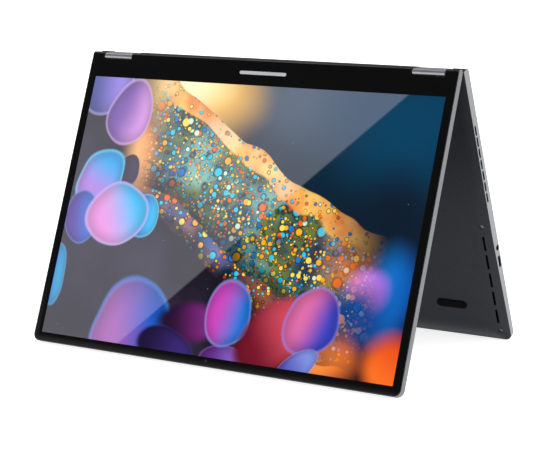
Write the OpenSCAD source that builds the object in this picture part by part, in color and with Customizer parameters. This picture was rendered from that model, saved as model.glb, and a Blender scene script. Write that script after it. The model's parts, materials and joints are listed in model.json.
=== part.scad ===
// Two-in-one laptop computer, folded round to stand as a tent.
// The frame stands on the floor: X along the hinge, Y front to back, Z up. Lengths are in millimetres.
// Each half has a local frame: x along the hinge, y from its hinge edge to its free edge, and z out of
// the deck (base) or out of the back cover (lid). Both local frames coincide when the lid is closed.

/* [Body] */
// Width of the base and the lid
body_w = 298; // [296:1:304]
// Depth of the base from hinge edge to front edge
base_d = 213.1; // [212:0.1:215]
// Thickness of the base without its feet
base_t = 8.6; // [8.5:0.1:9]
// Depth of the lid from hinge edge to free edge
lid_d = 216.1; // [215:0.1:218]
// Thickness of the lid
lid_t = 5.2; // [5.2:0.1:5.6]
// Corner radius at the free edges
corner_r = 5; // [4:0.5:7]
// Wall of the top case
case_wall = 1.5; // [1.4:0.1:1.6]
// Wall of the bottom cover
cover_wall = 1; // [0.9:0.1:1.1]
// Depth of the side wall from the deck down to the seam
seam_depth = 7.1; // [7:0.1:7.2]
// Depth of the front wall from the deck down to the seam
front_seam = 4.6; // [4.5:0.1:4.8]
// Distance from the hinge edge at which the seam starts to rise
seam_bend = 130; // [126:1:134]
// Width of the sloping edge of the bottom cover at the sides
side_slope = 11; // [10:0.5:12]
// Width of the sloping edge of the bottom cover at the front
front_slope = 14; // [12:0.5:15]

/* [Stance] */
// Lean of the lid from the vertical
lid_lean = 22.7; // [20:0.1:26]

/* [Hinges] */
// Gap between glass and deck when closed
closed_gap = 0.6; // [0.5:0.1:0.7]
// Depth of the base shaft below the deck
base_axis_depth = 4.5; // [4.4:0.1:4.6]
// Distance from the base's hinge edge to its shaft
base_axis_back = 2; // [2:0.1:2.2]
// Distance from the lid's hinge edge to its shaft
lid_axis_back = 3; // [2.8:0.1:3.2]
// Length of each hinge knuckle
knuckle_len = 24; // [24:0.5:26]
// Distance from the middle of the body to the middle of a knuckle
knuckle_x = 126.5; // [126:0.5:128]
// Radius of a knuckle's rounded ends
knuckle_r = 2.5; // [2.45:0.05:2.55]
// Radius of the hinge shafts
shaft_r = 0.85; // [0.8:0.05:0.9]
// Radial running clearance of the shafts in their bearings
shaft_clear = 0.05; // [0.02:0.01:0.08]
// Teeth of each of the four hinge gears
gear_teeth = 12; // [10:2:14]
// Clearance around a knuckle in its notch
notch_clear = 0.4; // [0.35:0.05:0.5]

/* [Keyboard] */
// Spacing of the keys
key_pitch = 18.4; // [18.2:0.1:18.5]
// Spacing of the function row
function_pitch = 12; // [11.5:0.1:12.2]
// Gap between two key caps
key_gap = 2.4; // [2.2:0.1:2.8]
// Height of a key cap
key_h = 1.7; // [1.6:0.05:1.8]
// Travel of a key
key_travel = 1.1; // [1:0.1:1.1]
// Distance from the hinge edge to the keyboard well
well_y = 23.6; // [23:0.2:25]
// Depth of the keyboard well
well_h = 0.8; // [0.7:0.05:0.85]

/* [Touchpad] */
// Width of the touchpad
pad_w = 118; // [110:1:122]
// Depth of the touchpad
pad_d = 72; // [68:1:73]
// Distance from the hinge edge to the touchpad
pad_y = 133.5; // [132:0.5:134]

/* [Screen] */
// Width of the active picture area
screen_w = 285; // [280:0.1:286]
// Height of the active picture area
screen_h = 190.2; // [186:0.1:191]
// Border between the hinge edge and the picture
chin = 19.4; // [19:0.1:20]
// Thickness of the cover glass
glass_t = 0.7; // [0.5:0.1:0.8]

/* [Openings] */
// Distance from the hinge edge to the first side vent
vent_y = 44.5; // [42:0.1:46]
// Spacing of the side vents
vent_pitch = 8.55; // [8:0.05:8.6]
// Distance from the hinge edge to the audio socket
jack_y = 137; // [136:0.5:138]
// Radius of the audio socket's bore
jack_r = 1.8; // [1.76:0.01:1.84]
// Depth of the audio socket's axis below the deck
jack_depth = 2.85; // [2.8:0.05:2.9]
// Distance from the hinge edge to the USB-C sockets
usb_y = 147.8; // [147:0.2:150]
// Depth of the USB-C sockets' axes below the deck
usb_depth = 3.1; // [3.05:0.05:3.2]
// Distance from the hinge edge to the first speaker slot
slot_y = 131.3; // [130:0.1:132]
// Spacing of the speaker slots
slot_pitch = 15; // [14.5:0.05:15]

/* [Hidden] */
$fn = 48;
eps = 0.01;
half_w = body_w / 2;

// Hinge: distance between the shafts, and the lean that puts both free edges on the floor
lid_edge_r = lid_t / 2;
shaft_gap = base_axis_depth + closed_gap + lid_edge_r;
lid_reach = lid_d - lid_axis_back;
base_reach = base_d - base_axis_back;
base_toe = front_seam - base_axis_depth;
lid_axis_z = lid_reach * cos(lid_lean) + lid_edge_r * sin(lid_lean);
function base_axis_h(lean) = lid_axis_z - shaft_gap * sin((lid_lean - lean) / 2);
// Each round puts the base's toe back on the floor for the shaft height that the last lean gave
function settled_lean(rounds) = rounds == 0 ? lid_lean :
    atan2(base_toe, base_reach)
    + acos(base_axis_h(settled_lean(rounds - 1)) / norm([base_reach, base_toe]));
base_lean = settled_lean(6);
base_axis_z = base_axis_h(base_lean);
opening = 360 - lid_lean - base_lean;
link_tilt = opening / 2 - 90 + base_lean;
lid_front_y = lid_reach * sin(lid_lean) + lid_edge_r * cos(lid_lean);
base_back_y = base_reach * sin(base_lean) + base_axis_depth * cos(base_lean);
link_y = shaft_gap * sin(link_tilt);
lid_axis_y = (lid_front_y - base_back_y - link_y) / 2;
base_axis_y = lid_axis_y + link_y;

// Layers of the base, as depths below the deck
deck_t = 1.5;
key_top = 0.15;
membrane_z = 3.35;
membrane_t = 0.2;
plate_z = 3.65;
board_z = 4.2;
board_t = 0.8;
side_board_z = 5.1;
inner_floor = base_t - cover_wall - 0.1;

// Hinge gears: four equal gears in a row between the two shafts
gear_module = shaft_gap / (3 * gear_teeth);
gear_step = shaft_gap / 3;
idler_pin_r = 0.55;
notch_w = knuckle_len + 1;
base_notch_d = base_axis_back + knuckle_r + notch_clear;
lid_notch_d = lid_axis_back + knuckle_r + notch_clear;

// Key layout: widths of the keys of each row in key pitches, from the user's left (+x)
KEY_UNITS = [
    [for (i = [1:15]) 1],
    concat([for (i = [1:13]) 1], [2]),
    concat([1.5], [for (i = [1:12]) 1], [1.5]),
    concat([1.75], [for (i = [1:11]) 1], [2.25]),
    concat([2.25], [for (i = [1:10]) 1], [2.75]),
    [1.25, 1, 1, 1, 5.75, 1, 1, 1, 1, 1]];
row_units = 15;
well_margin = 1.4;
well_w = row_units * key_pitch - key_gap + 2 * well_margin;
well_d = function_pitch + 5 * key_pitch - key_gap + 2 * well_margin;
half_key_d = (key_pitch - key_gap - 1.2) / 2;
function sum_to(list, n) = n <= 0 ? 0 : list[n - 1] + sum_to(list, n - 1);
function row_y(row) = well_y + well_margin + (row == 0 ? 0 : function_pitch + (row - 1) * key_pitch);
function row_d(row) = (row == 0 ? function_pitch : key_pitch) - key_gap;
function key_w(row, i) = KEY_UNITS[row][i] * key_pitch - key_gap;
function key_x(row, i) = row_units * key_pitch / 2 - (sum_to(KEY_UNITS[row], i) + KEY_UNITS[row][i] / 2) * key_pitch;
// One key as [middle x, middle y, width, depth]
function key_at(row, i) = [key_x(row, i), row_y(row) + row_d(row) / 2, key_w(row, i), row_d(row)];
function half_key(i, lower) = [key_x(5, i),
    row_y(5) + (lower ? row_d(5) - half_key_d / 2 : half_key_d / 2), key_w(5, i), half_key_d];
ARROW_KEYS = [half_key(7, true), half_key(8, false), half_key(8, true), half_key(9, true)];
function keys_of(row, first, last) = [for (i = [first:last]) key_at(row, i)];
MODIFIER_KEYS = concat(keys_of(5, 0, 3), keys_of(5, 5, 6));
ALL_KEYS = concat([for (row = [0:4], key = keys_of(row, 0, len(KEY_UNITS[row]) - 1)) key],
    keys_of(5, 0, 6), ARROW_KEYS);

// Depth of the seam and of the underside below the deck at a place on the base
function seam_at(y) = y < seam_bend ? seam_depth :
    seam_depth - (seam_depth - front_seam) * (y - seam_bend) / (base_d - seam_bend);
function underside_at(x, y) = min(base_t,
    seam_at(y) + (half_w - abs(x)) / side_slope * (base_t - seam_at(y)),
    front_seam + (base_d - y) / front_slope * (base_t - front_seam));

// Bottom screws: two in each sloping side edge and five in the flat
screw_head_r = 1.3;
screw_head_h = 0.4;
BOTTOM_SCREWS = [[-142.6, 117.9], [142.6, 117.9], [-142.6, 204], [142.6, 204],
    [-66, 195], [66, 195], [-84, 11], [84, 11], [0, 11]];
function seat_at(p) = underside_at(abs(p[0]) + screw_head_r, p[1] + screw_head_r) - screw_head_h - 0.05;
BASE_BRACKET_SCREWS = [[99, 13], [107, 13]];
LID_BRACKET_SCREWS = [[70, 9.4], [86, 9.4], [102, 9.4]];

// ---- placing ----
module in_base() {
    translate([0, base_axis_y, base_axis_z])
        rotate([base_lean - 90, 0, 0])
            translate([0, -base_axis_back, base_axis_depth])
                children();
}

module in_lid() {
    translate([0, lid_axis_y, lid_axis_z])
        rotate([-90 - lid_lean, 0, 0])
            translate([0, -lid_axis_back, -lid_edge_r])
                children();
}

// The link's frame: the base shaft at the origin, the lid shaft on +z
module in_link() {
    translate([0, base_axis_y, base_axis_z])
        rotate([link_tilt, 0, 0])
            children();
}

module both_sides() {
    children();
    mirror([1, 0, 0]) children();
}

// Extrudes a y-z outline along x, centred
module along_x(length) {
    rotate([90, 0, 90])
        linear_extrude(length, center = true)
            children();
}

// A box between two corners
module block(low, high) {
    translate(low) cube(high - low);
}

// A slot with round ends, lying along y and cut along x
module side_slot(y, z, length, height, depth) {
    translate([half_w, y, z])
        along_x(2 * depth)
            union() {
                square([length - height, height], center = true);
                translate([-(length - height) / 2, 0]) circle(d = height);
                translate([(length - height) / 2, 0]) circle(d = height);
            }
}

// A pill outline along x
module pill(length, width) {
    square([length - width, width], center = true);
    translate([-(length - width) / 2, 0]) circle(d = width);
    translate([(length - width) / 2, 0]) circle(d = width);
}

// Outline of a half seen from above, with its free corners rounded and inset by a margin
module half_outline(depth, margin, r) {
    w = half_w - margin;
    translate([-w, 0]) square([2 * w, depth - margin - r]);
    translate([-w + r, 0]) square([2 * (w - r), depth - margin]);
    for (side = [-1, 1])
        translate([side * (w - r), depth - margin - r]) circle(r);
}

// ---- base: casings ----
// Rounding of the hinge edge on the deck side and on the underside
deck_edge_r = 3;
under_edge_r = 2;

// The space above the seam, as a y-z outline
module seam_outline(margin) {
    polygon([[-1, margin], [base_d + 1, margin], [base_d + 1, -front_seam], [base_d, -front_seam],
        [seam_bend, -seam_depth], [-1, -seam_depth]]);
}

module base_edge_rounding() {
    difference() {
        along_x(body_w + 2) translate([-1, -deck_edge_r]) square(deck_edge_r + 1);
        translate([0, deck_edge_r, -deck_edge_r]) along_x(body_w + 4) circle(deck_edge_r, $fn = 96);
    }
}

module notches(depth, low, high, margin) {
    both_sides()
        block([knuckle_x - notch_w / 2 - margin, -1, low], [knuckle_x + notch_w / 2 + margin, depth + margin, high]);
}

module key_holes() {
    clear = 0.4;
    for (key = ALL_KEYS)
        translate([key[0], key[1], -deck_t])
            cube([key[2] + 2 * clear, key[3] + 2 * clear, 2 * deck_t], center = true);
}

// Screw posts that reach from the deck to the seam, with pilot holes
module case_posts() {
    difference() {
        union() {
            for (p = BOTTOM_SCREWS)
                translate([p[0], p[1], 0.1 - seam_at(p[1])]) cylinder(h = seam_at(p[1]) - 1.1, r = 2.2);
            both_sides() for (p = BASE_BRACKET_SCREWS)
                translate([p[0], p[1], -board_z]) cylinder(h = board_z - 1, r = 2);
        }
        for (p = BOTTOM_SCREWS)
            translate([p[0], p[1], -base_t]) cylinder(h = base_t - deck_t, r = 0.7);
        both_sides() for (p = BASE_BRACKET_SCREWS)
            translate([p[0], p[1], -base_t]) cylinder(h = base_t - deck_t, r = 0.7);
    }
}

module case_shell() {
    difference() {
        intersection() {
            translate([0, 0, -seam_depth - 1]) linear_extrude(seam_depth + 1) half_outline(base_d, 0, corner_r);
            along_x(body_w + 2) seam_outline(1);
        }
        base_edge_rounding();
        difference() {
            translate([0, case_wall, -20])
                linear_extrude(20 - deck_t) half_outline(base_d - case_wall, case_wall, corner_r - case_wall);
            notches(base_notch_d, -21, 0, case_wall);
        }
        both_sides() block([bracket_x - 10, 0.75, -7], [bracket_x, 3, -base_axis_depth + 1.4]);
        notches(base_notch_d, -21, 1, 0);
    }
}

module top_case() {
    color([0.58, 0.58, 0.6]) in_base() {
        difference() {
            case_shell();
            translate([0, well_y + well_d / 2, 0]) cube([well_w, well_d, 2 * well_h], center = true);
            key_holes();
            block([-pad_w / 2, pad_y, -5], [pad_w / 2, pad_y + pad_d, 1]);
            for (i = [0:6])
                side_slot(vent_y + i * vent_pitch, -4.3, 7.4, 1.5, case_wall + 1);
            // Socket openings in the side walls, with the deck thinned above the sockets
            translate([half_w, jack_y, -jack_depth]) rod(-5, 5, jack_r + 0.3);
            both_sides() side_slot(usb_y, -usb_depth, 9.3, 3.4, case_wall + 1);
            mirror([1, 0, 0]) side_slot(card_y, -card_depth, 12.4, 1.4, case_wall + 1);
            both_sides() block([half_w - 16, jack_y - 4.2, -2], [half_w - case_wall, usb_y + 5.6, -0.6]);
            // Shaft holes through the notch walls
            both_sides() translate([knuckle_x - notch_w / 2, base_axis_back, -base_axis_depth])
                rod(-4, 4, shaft_r + 0.25);
        }
        case_posts();
    }
}

// Solid shape of the base below the deck, shrunk by a wall thickness
module base_body(margin) {
    top_r = max(corner_r - margin, 1);
    rise = margin * 0.6;
    low_w = half_w - side_slope - rise;
    hull() {
        translate([0, deck_edge_r, -deck_edge_r])
            along_x(2 * (half_w - margin)) circle(deck_edge_r - margin, $fn = 32);
        translate([0, under_edge_r, -base_t + under_edge_r])
            along_x(2 * low_w) circle(under_edge_r - margin, $fn = 32);
        for (side = [-1, 1]) {
            translate([side * (half_w - margin - top_r), base_d - margin - top_r, -front_seam + rise])
                cylinder(h = front_seam - margin - rise, r = top_r, $fn = 32);
            for (y = [margin + 0.5, seam_bend])
                translate([side * (half_w - margin - 0.5), y, -seam_depth + rise])
                    cylinder(h = 1, r = 0.5, $fn = 16);
            translate([side * (low_w - 6), base_d - front_slope - rise - 6, -base_t + margin])
                cylinder(h = 1, r = 6, $fn = 32);
        }
    }
}

module cover_columns() {
    for (p = BOTTOM_SCREWS)
        translate([p[0], p[1], -base_t - 1]) cylinder(h = base_t, r = 2.6);
}

module speaker_slots() {
    for (i = [0:4])
        both_sides() translate([half_w - 6.6, slot_y + i * slot_pitch, -base_t - 1])
            linear_extrude(5) rotate(90) pill(11.7, 1.6);
}

module intake_slots() {
    for (row = [0:2], i = [0:7])
        translate([fan_x - 20 + i * 5.6, fan_y - 15 + row * 15, -base_t - 1])
            linear_extrude(3) rotate(90) pill(12, 2);
}

module bottom_cover() {
    color([0.18, 0.18, 0.19]) in_base()
        difference() {
            base_body(0);
            difference() {
                base_body(cover_wall);
                cover_columns();
                notches(base_notch_d, -21, 0, cover_wall);
            }
            translate([0, 0, -0.02]) along_x(body_w + 2) seam_outline(1);
            notches(base_notch_d, -21, 1, 0);
            for (p = BOTTOM_SCREWS) {
                translate([p[0], p[1], -base_t - 1]) cylinder(h = base_t, r = 0.9);
                translate([p[0], p[1], -seat_at(p) - 6]) cylinder(h = 6, r = screw_head_r + 0.2);
            }
            speaker_slots();
            intake_slots();
        }
}

module bottom_screws() {
    color([0.25, 0.25, 0.26]) in_base()
        for (p = BOTTOM_SCREWS)
            translate([p[0], p[1], -seat_at(p)])
                difference() {
                    union() {
                        translate([0, 0, -screw_head_h]) cylinder(h = screw_head_h, r = screw_head_r);
                        cylinder(h = 3.2, r = 0.65);
                    }
                    translate([0, 0, -screw_head_h - 0.2]) cylinder(h = 0.6, r = 0.5, $fn = 6);
                }
}

foot_h = 0.8;
foot_w = 23.4;

module foot(x, y) {
    translate([x, y, -base_t - foot_h]) linear_extrude(foot_h) pill(foot_w, 6);
}

module front_feet() {
    color([0.06, 0.06, 0.07]) in_base() both_sides() foot(108.4, 184.6);
}

module rear_feet() {
    color([0.06, 0.06, 0.07]) in_base() both_sides() foot(108.4, 32);
}

// ---- base: keyboard ----
module key_cap(key) {
    skirt = 0.8;
    crown = 0.7;
    translate([key[0], key[1], -key_top - key_h / 2])
        difference() {
            cube([key[2], key[3], key_h], center = true);
            translate([0, 0, -crown]) cube([key[2] - 2 * skirt, key[3] - 2 * skirt, key_h], center = true);
        }
}

module key_caps(keys) {
    color([0.16, 0.16, 0.17]) in_base() for (key = keys) key_cap(key);
}

module key_row_function() key_caps(keys_of(0, 0, 13));
module key_row_numbers() key_caps(keys_of(1, 0, 12));
module key_row_upper() key_caps(keys_of(2, 0, 13));
module key_row_home() key_caps(keys_of(3, 0, 11));
module key_row_lower() key_caps(keys_of(4, 1, 10));
module key_row_modifiers() key_caps(MODIFIER_KEYS);
module space_bar() key_caps([key_at(5, 4)]);
module enter_key() key_caps([key_at(3, 12)]);
module backspace_key() key_caps([key_at(1, 13)]);
module left_shift_key() key_caps([key_at(4, 0)]);
module right_shift_key() key_caps([key_at(4, 11)]);
module arrow_keys() key_caps(ARROW_KEYS);
module power_key() key_caps([key_at(0, 14)]);

function scissor_w(key) = min(10, key[2] - 4);
function scissor_d(key) = min(10, key[3] - 3.4);
scissor_h = 0.9;
scissor_wall = 0.8;

module key_scissors() {
    color([0.85, 0.85, 0.86]) in_base()
        for (key = ALL_KEYS)
            translate([key[0], key[1], -membrane_z + membrane_t + scissor_h / 2])
                difference() {
                    cube([scissor_w(key), scissor_d(key), scissor_h], center = true);
                    cube([scissor_w(key) - 2 * scissor_wall, scissor_d(key) - 2 * scissor_wall, 2], center = true);
                }
}

module keyboard_membrane() {
    color([0.7, 0.72, 0.74]) in_base() {
        block([-well_w / 2 + 1, well_y + 1, -membrane_z], [well_w / 2 - 1, well_y + well_d - 1, -membrane_z + membrane_t]);
        for (key = ALL_KEYS)
            translate([key[0], key[1], -membrane_z + eps])
                cylinder(h = membrane_t + scissor_h - 0.1, r = min(2.2, scissor_d(key) / 2 - scissor_wall - 0.2));
    }
}

module keyboard_backplate() {
    color([0.62, 0.63, 0.65]) in_base()
        difference() {
            block([-well_w / 2, well_y, -plate_z], [well_w / 2, well_y + well_d, -membrane_z]);
            for (x = [-120:40:120], y = [well_y + 14, well_y + 90])
                translate([x, y, -5]) cylinder(h = 2, r = 1.4);
        }
}

// ---- base: touchpad ----
module touchpad() {
    gap = 0.3;
    color([0.5, 0.5, 0.52]) in_base()
        block([-pad_w / 2 + gap, pad_y + gap, -1.4], [pad_w / 2 - gap, pad_y + pad_d - gap, -0.1]);
}

module touchpad_board() {
    color([0.05, 0.25, 0.15]) in_base() {
        block([-pad_w / 2 + 6, pad_y + 5, -2.1], [pad_w / 2 - 6, pad_y + pad_d - 5, -1.4]);
        block([-6, pad_y + pad_d - 16, -2.6], [6, pad_y + pad_d - 10, -2.1]);
    }
}

// ---- base: electronics ----
board_low = board_z + board_t;

module mainboard() {
    color([0.04, 0.2, 0.12]) in_base() {
        difference() {
            block([-138, 30, -board_low], [62, 122, -board_z]);
            block([-112, 80, -8], [-60, 130, -4]);
        }
        block([20, 96, -board_low - 1], [50, 101, -board_low]);
        for (i = [0:3])
            block([-48 + i * 13, 84, -board_low - 1], [-38 + i * 13, 97, -board_low]);
        block([-130, 40, -board_low - 1.4], [-122, 70, -board_low]);
    }
}

spreader_low = board_low + 1.3;

module processor_spreader() {
    color([0.72, 0.45, 0.3]) in_base() {
        block([6, 52, -board_low - 0.7], [34, 76, -board_low]);
        block([2, 48, -spreader_low], [38, 80, -board_low - 0.7]);
    }
}

// A flat pipe from the spreader round behind the fan to the fins
module heat_pipe() {
    thick = 1.1;
    half_pipe = 3;
    color([0.8, 0.5, 0.32]) in_base()
        translate([0, 0, -spreader_low - thick]) {
            block([10, 60 - half_pipe, 0], [20, 60 + half_pipe, thick]);
            translate([20, 60, 0]) cylinder(h = thick, r = half_pipe);
            block([20 - half_pipe, 60, 0], [20 + half_pipe, 106, thick]);
            translate([20, 106, 0]) cylinder(h = thick, r = half_pipe);
            block([20, 106 - half_pipe, 0], [138, 106 + half_pipe, thick]);
        }
}

fin_y = 42;
fin_count = 26;
fin_pitch = 2.25;

module heat_sink_fins() {
    color([0.75, 0.76, 0.78]) in_base() {
        for (i = [0:fin_count - 1])
            block([123, fin_y + i * fin_pitch, -6.9], [143, fin_y + 0.4 + i * fin_pitch, -4]);
        block([123, fin_y, -7.2], [137, 103, -6.9 + eps]);
    }
}

fan_x = 94;
fan_y = 70;
fan_r = 19;

module fan_housing() {
    reach = 24;
    low = 7.4;
    plate = 0.4;
    color([0.1, 0.1, 0.11]) in_base()
        translate([fan_x, fan_y, 0])
            difference() {
                union() {
                    translate([0, 0, -low]) cylinder(h = low - 4, r = reach);
                    block([0, -reach, -low], [reach + 3, reach, -4]);
                }
                translate([0, 0, -low + plate]) cylinder(h = low - 4 - 2 * plate, r = reach - 1);
                block([0, -reach + 1, -low + plate], [reach + 4, reach - 1, -4 - plate]);
                translate([0, 0, -low - 1]) cylinder(h = 3, r = 13);
            }
}

module fan_rotor() {
    blades = 24;
    color([0.2, 0.2, 0.22]) in_base()
        translate([fan_x, fan_y, -6.8]) {
            cylinder(h = 2.2, r = 8);
            for (i = [0:blades - 1])
                rotate(i * 360 / blades)
                    translate([7.5, -0.3, 0]) rotate(12) cube([fan_r - 8, 0.6, 2]);
        }
}

module battery_pack() {
    cell_w = 53.5;
    cell_step = 55.5;
    color([0.07, 0.07, 0.08]) in_base() {
        for (i = [0:3])
            block([-110 + i * cell_step, 132, -7.3], [-110 + i * cell_step + cell_w, 188, -3.6]);
        block([-112, 129, -5], [113, 132, -4]);
    }
}

module ssd_module() {
    color([0.05, 0.22, 0.14]) in_base() {
        block([-80, 36, -6.7], [0, 58, -6]);
        for (i = [0:2])
            block([-70 + i * 20, 39, -7.3], [-57 + i * 20, 55, -6.7]);
        block([-86, 37, -7], [-80, 57, -board_low]);
    }
}

module radio_card() {
    color([0.06, 0.24, 0.15]) in_base() {
        block([-114, 34, -6.6], [-92, 64, -6]);
        block([-112, 37, -7.2], [-94, 50, -6.6]);
        block([-114, 64, -7], [-92, 69, -board_low]);
    }
}

module speaker() {
    block([122, 160, -6.6], [140, 195, -4.2]);
    block([119, 168, -5.6], [122, 174, -4.2]);
}

module left_speaker() {
    color([0.08, 0.08, 0.09]) in_base() speaker();
}

module right_speaker() {
    color([0.08, 0.08, 0.09]) in_base() mirror([1, 0, 0]) speaker();
}

module side_board() {
    block([120, 129.5, -side_board_z - 0.7], [half_w - case_wall - 1.2, 157, -side_board_z]);
}

module left_side_board() {
    color([0.04, 0.2, 0.12]) in_base() side_board();
}

module right_side_board() {
    color([0.04, 0.2, 0.12]) in_base() mirror([1, 0, 0]) side_board();
}

jack_len = 14;

module audio_jack() {
    color([0.1, 0.1, 0.11]) in_base()
        difference() {
            union() {
                block([half_w - jack_len - 1.5, jack_y - 3.2, -side_board_z], [half_w - case_wall, jack_y + 3.2, -0.75]);
                translate([half_w, jack_y, -jack_depth]) rod(-3, -0.1, jack_r + 0.25);
            }
            translate([half_w - 0.1, jack_y, -jack_depth]) rod(-jack_len, 1, jack_r);
        }
}

module usb_c_port() {
    translate([half_w - 7.2, usb_y, -usb_depth]) {
        difference() {
            along_x(14) pill(8.9, 3.1);
            translate([1, 0, 0]) along_x(14) pill(8.3, 2.5);
        }
        block([-6.5, -3.3, -0.35], [5, 3.3, 0.35]);
        block([-7, -3.4, usb_depth - side_board_z], [3, 3.4, -1.5]);
    }
}

module left_usb_c_port() {
    color([0.7, 0.7, 0.72]) in_base() usb_c_port();
}

module right_usb_c_port() {
    color([0.7, 0.7, 0.72]) in_base() mirror([1, 0, 0]) usb_c_port();
}

card_y = 135.3;
card_depth = 3.6;

module card_reader() {
    color([0.6, 0.6, 0.62]) in_base()
        mirror([1, 0, 0])
            difference() {
                block([half_w - 17, card_y - 6.8, -side_board_z], [half_w - case_wall, card_y + 6.8, -2.4]);
                block([half_w - 15.5, card_y - 5.8, -card_depth - 0.5], [half_w, card_y + 5.8, -card_depth + 0.5]);
            }
}

// ---- hinges ----
// Places its children at the inboard end of the right and left knuckles, with +x outboard
module at_knuckles() {
    both_sides() translate([knuckle_x - knuckle_len / 2, 0, 0]) children();
}

module rod(from, to, r) {
    translate([from, 0, 0]) rotate([0, 90, 0]) cylinder(h = to - from, r = r);
}

// Radians of the involute of an angle, as degrees
function involute(angle) = tan(angle) * 180 / PI - angle;
pressure = 20;
tooth_slack = 0.06;
bracket_x = knuckle_x - knuckle_len / 2 - 2.5;

// Spur gear along x, with a tooth on +z, or a gap there when half_turn is true
module hinge_gear(from, to, gap_up) {
    pitch_r = gear_module * gear_teeth / 2;
    root_r = pitch_r - 1.15 * gear_module;
    flank_base = pitch_r * cos(pressure);
    tip_r = pitch_r + 0.85 * gear_module;
    half_tooth = 90 / gear_teeth - tooth_slack / 2 / pitch_r * 180 / PI;
    steps = 4;
    flank = concat([[root_r, half_tooth + involute(pressure)]],
        [for (i = [0:steps])
            let (r = flank_base + (tip_r - flank_base) * i / steps)
                [r, half_tooth + involute(pressure) - involute(acos(min(1, flank_base / r)))]]);
    turn = gap_up ? 180 / gear_teeth : 0;
    outline = [for (t = [0:gear_teeth - 1], side = [-1, 1], i = [0:steps + 1])
        let (p = side < 0 ? flank[i] : flank[steps + 1 - i], a = t * 360 / gear_teeth + turn + side * p[1])
            [-p[0] * sin(a), p[0] * cos(a)]];
    translate([(from + to) / 2, 0, 0]) along_x(to - from) polygon(outline);
}

gear_from = 3.5;
gear_to = 8.5;

module hinge_shaft(gap_up) {
    rod(-12, 21, shaft_r);
    hinge_gear(gear_from, gear_to, gap_up);
    translate([19, 0, 0]) rotate([0, 90, 0]) cylinder(h = 1.6, r = 1.7, $fn = 6);
}

module base_hinge_shafts() {
    color([0.6, 0.6, 0.62]) in_link() at_knuckles() hinge_shaft(false);
}

module lid_hinge_shafts() {
    color([0.6, 0.6, 0.62]) in_link() at_knuckles() translate([0, 0, shaft_gap]) hinge_shaft(true);
}

module idler(gap_up) {
    hinge_gear(gear_from, gear_to, gap_up);
    rod(1, gear_from + eps, idler_pin_r);
    rod(gear_to - eps, 11, idler_pin_r);
}

module lower_idler_gears() {
    color([0.62, 0.6, 0.5]) in_link() at_knuckles() translate([0, 0, gear_step]) idler(true);
}

module upper_idler_gears() {
    color([0.62, 0.6, 0.5]) in_link() at_knuckles() translate([0, 0, 2 * gear_step]) idler(false);
}

// Outline of the link across its shafts
module link_outline(r) {
    circle(r);
    translate([-r, 0]) square([2 * r, shaft_gap]);
    translate([0, shaft_gap]) circle(r);
}

knuckle_wall = 0.5;

module link_plate(from, to, idlers) {
    difference() {
        translate([(from + to) / 2, 0, 0]) along_x(to - from) link_outline(knuckle_r - knuckle_wall - 0.03);
        for (z = [0, shaft_gap])
            translate([0, 0, z]) rod(from - 1, to + 1, shaft_r + shaft_clear);
        if (idlers)
            for (i = [1, 2])
                translate([0, 0, i * gear_step]) rod(from - 1, to + 1, idler_pin_r + shaft_clear);
    }
}

module hinge_bearing_plates() {
    color([0.5, 0.5, 0.52]) in_link() at_knuckles() {
        link_plate(0.4, 3.2, true);
        link_plate(8.8, 11.6, true);
    }
}

module hinge_friction_discs() {
    color([0.55, 0.5, 0.4]) in_link() at_knuckles()
        for (i = [0:5])
            link_plate(12.2 + i * 1.1, 13 + i * 1.1, false);
}

module hinge_cover() {
    color([0.62, 0.62, 0.64]) in_link()
        translate([knuckle_x - knuckle_len / 2, 0, 0])
            difference() {
                translate([knuckle_len / 2, 0, 0]) along_x(knuckle_len) link_outline(knuckle_r);
                translate([knuckle_len / 2 - 0.8, 0, 0]) along_x(knuckle_len) link_outline(knuckle_r - knuckle_wall);
            }
}

module left_hinge_cover() hinge_cover();

module right_hinge_cover() {
    mirror([1, 0, 0]) hinge_cover();
}

module base_hinge_brackets() {
    plate_t = 1;
    color([0.45, 0.45, 0.47]) in_base() both_sides()
        difference() {
            union() {
                block([bracket_x - 9, 0.85, -base_axis_depth - 1.25], [bracket_x, 3.4, -base_axis_depth + 1.25]);
                block([bracket_x - 20, 3, -board_z - plate_t], [bracket_x, 18, -board_z]);
            }
            translate([0, base_axis_back, -base_axis_depth]) rod(90, 130, shaft_r);
            for (p = BASE_BRACKET_SCREWS)
                translate([p[0], p[1], -10]) cylinder(h = 8, r = 0.9);
        }
}

module base_hinge_screws() {
    color([0.3, 0.3, 0.31]) in_base() both_sides()
        for (p = BASE_BRACKET_SCREWS)
            translate([p[0], p[1], -board_z - 1]) {
                translate([0, 0, -0.8]) cylinder(h = 0.8, r = 1.5);
                cylinder(h = 3, r = 0.65);
            }
}

module lid_hinge_brackets() {
    color([0.45, 0.45, 0.47]) in_lid() both_sides()
        difference() {
            union() {
                translate([0, lid_axis_back, lid_edge_r]) rod(bracket_x - 9, bracket_x, shaft_r + 0.45);
                block([60, lid_axis_back + 0.6, 3.3], [bracket_x, 12.6, 4.1]);
            }
            translate([0, lid_axis_back, lid_edge_r]) rod(90, 130, shaft_r);
            for (p = LID_BRACKET_SCREWS)
                translate([p[0], p[1], 2]) cylinder(h = 3, r = 0.9);
        }
}

module lid_hinge_screws() {
    color([0.3, 0.3, 0.31]) in_lid() both_sides()
        for (p = LID_BRACKET_SCREWS)
            translate([p[0], p[1], 2.6]) {
                cylinder(h = 0.7, r = 1.5);
                cylinder(h = 2.2, r = 0.65);
            }
}

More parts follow.
